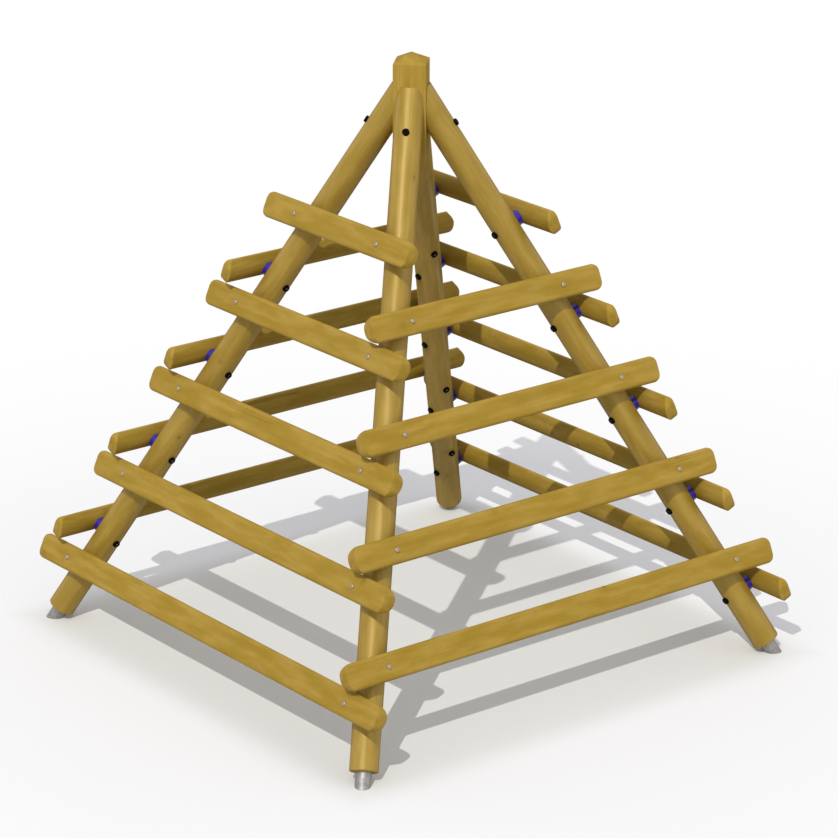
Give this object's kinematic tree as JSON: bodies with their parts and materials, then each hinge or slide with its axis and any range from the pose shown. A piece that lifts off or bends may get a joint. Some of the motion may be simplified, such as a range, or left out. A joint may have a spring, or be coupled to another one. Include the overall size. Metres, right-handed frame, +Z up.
{
  "type": "timber climbing pyramid",
  "caption": "Outdoor timber climbing pyramid: raking round posts meet at a pointed head block, with half-round rails bolted across every face on blue saddle spacers, on steel tube feet.",
  "frame": {"origin": "on the ground, straight under the point of the head block", "axes": "+Z up; -Y towards the front face and +Y towards the back face, which carry the rail nearest the ground; +X towards the right face"},
  "size_m": [2.511, 2.4064, 2.7244],
  "materials": {
    "timber": "smooth turned softwood, weather-treated, faint sheen",
    "blue_plastic": "moulded, satin",
    "galvanised_steel": "hot-dip galvanised, dull metal"
  },
  "bodies": {
    "root": {"head_block": "timber", "post_front_right": "timber", "ground_anchor_front_right": "galvanised_steel", "post_back_right": "timber", "ground_anchor_back_right": "galvanised_steel", "post_back_left": "timber", "ground_anchor_back_left": "galvanised_steel", "post_front_left": "timber", "ground_anchor_front_left": "galvanised_steel", "rail_front_1": "timber", "spacer_bolt_front_1_left": "blue_plastic", "spacer_bolt_front_1_right": "blue_plastic", "rail_front_2": "timber", "spacer_bolt_front_2_left": "blue_plastic", "spacer_bolt_front_2_right": "blue_plastic", "rail_front_3": "timber", "spacer_bolt_front_3_left": "blue_plastic", "spacer_bolt_front_3_right": "blue_plastic", "rail_front_4": "timber", "spacer_bolt_front_4_left": "blue_plastic", "spacer_bolt_front_4_right": "blue_plastic", "rail_front_5": "timber", "rail_right_1": "timber", "spacer_bolt_right_1_left": "blue_plastic", "spacer_bolt_right_1_right": "blue_plastic", "rail_right_2": "timber", "spacer_bolt_right_2_left": "blue_plastic", "spacer_bolt_right_2_right": "blue_plastic", "rail_right_3": "timber", "spacer_bolt_right_3_left": "blue_plastic", "spacer_bolt_right_3_right": "blue_plastic", "rail_right_4": "timber", "spacer_bolt_right_4_left": "blue_plastic", "spacer_bolt_right_4_right": "blue_plastic", "rail_back_1": "timber", "spacer_bolt_back_1_left": "blue_plastic", "spacer_bolt_back_1_right": "blue_plastic", "rail_back_2": "timber", "spacer_bolt_back_2_left": "blue_plastic", "spacer_bolt_back_2_right": "blue_plastic", "rail_back_3": "timber", "spacer_bolt_back_3_left": "blue_plastic", "spacer_bolt_back_3_right": "blue_plastic", "rail_back_4": "timber", "spacer_bolt_back_4_left": "blue_plastic", "spacer_bolt_back_4_right": "blue_plastic", "rail_back_5": "timber", "rail_left_1": "timber", "spacer_bolt_left_1_left": "blue_plastic", "spacer_bolt_left_1_right": "blue_plastic", "rail_left_2": "timber", "spacer_bolt_left_2_left": "blue_plastic", "spacer_bolt_left_2_right": "blue_plastic", "rail_left_3": "timber", "spacer_bolt_left_3_left": "blue_plastic", "spacer_bolt_left_3_right": "blue_plastic", "rail_left_4": "timber", "spacer_bolt_left_4_left": "blue_plastic", "spacer_bolt_left_4_right": "blue_plastic"}
  },
  "joints": []
}
